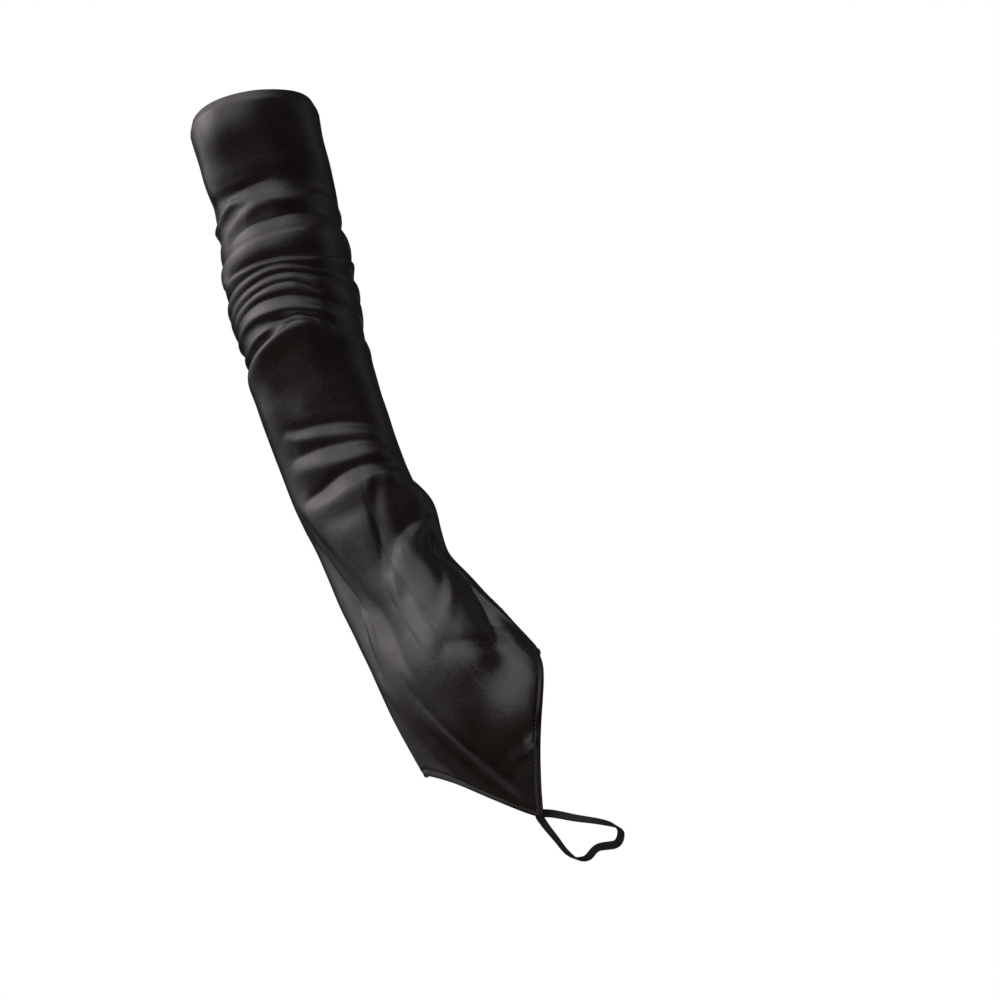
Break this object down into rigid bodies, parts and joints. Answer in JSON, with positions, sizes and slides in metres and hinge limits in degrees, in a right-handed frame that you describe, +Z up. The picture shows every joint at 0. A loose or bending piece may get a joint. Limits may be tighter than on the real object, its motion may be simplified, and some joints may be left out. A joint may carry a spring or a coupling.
{
  "type": "long fingerless evening mitten, worn form",
  "caption": "Long fingerless satin evening mitten with elbow gathers, ending in a point over the back of the hand with a loop for the middle finger.",
  "frame": {"origin": "middle of the arm opening at the top of the sleeve", "axes": "+Z up the arm towards the shoulder, back of the hand towards -Y, thumb side towards +X"},
  "size_m": [0.097, 0.1247, 0.5099],
  "materials": {
    "satin": "near-black polyester satin with a soft grey sheen on the folds",
    "turned_satin": "the same satin turned under and stitched, a little duller and fuller",
    "tape": "dull black woven tape"
  },
  "bodies": {
    "root": {"sleeve": "satin", "upper_hem": "turned_satin", "hand_hem": "turned_satin", "finger_loop": "tape"}
  },
  "joints": []
}
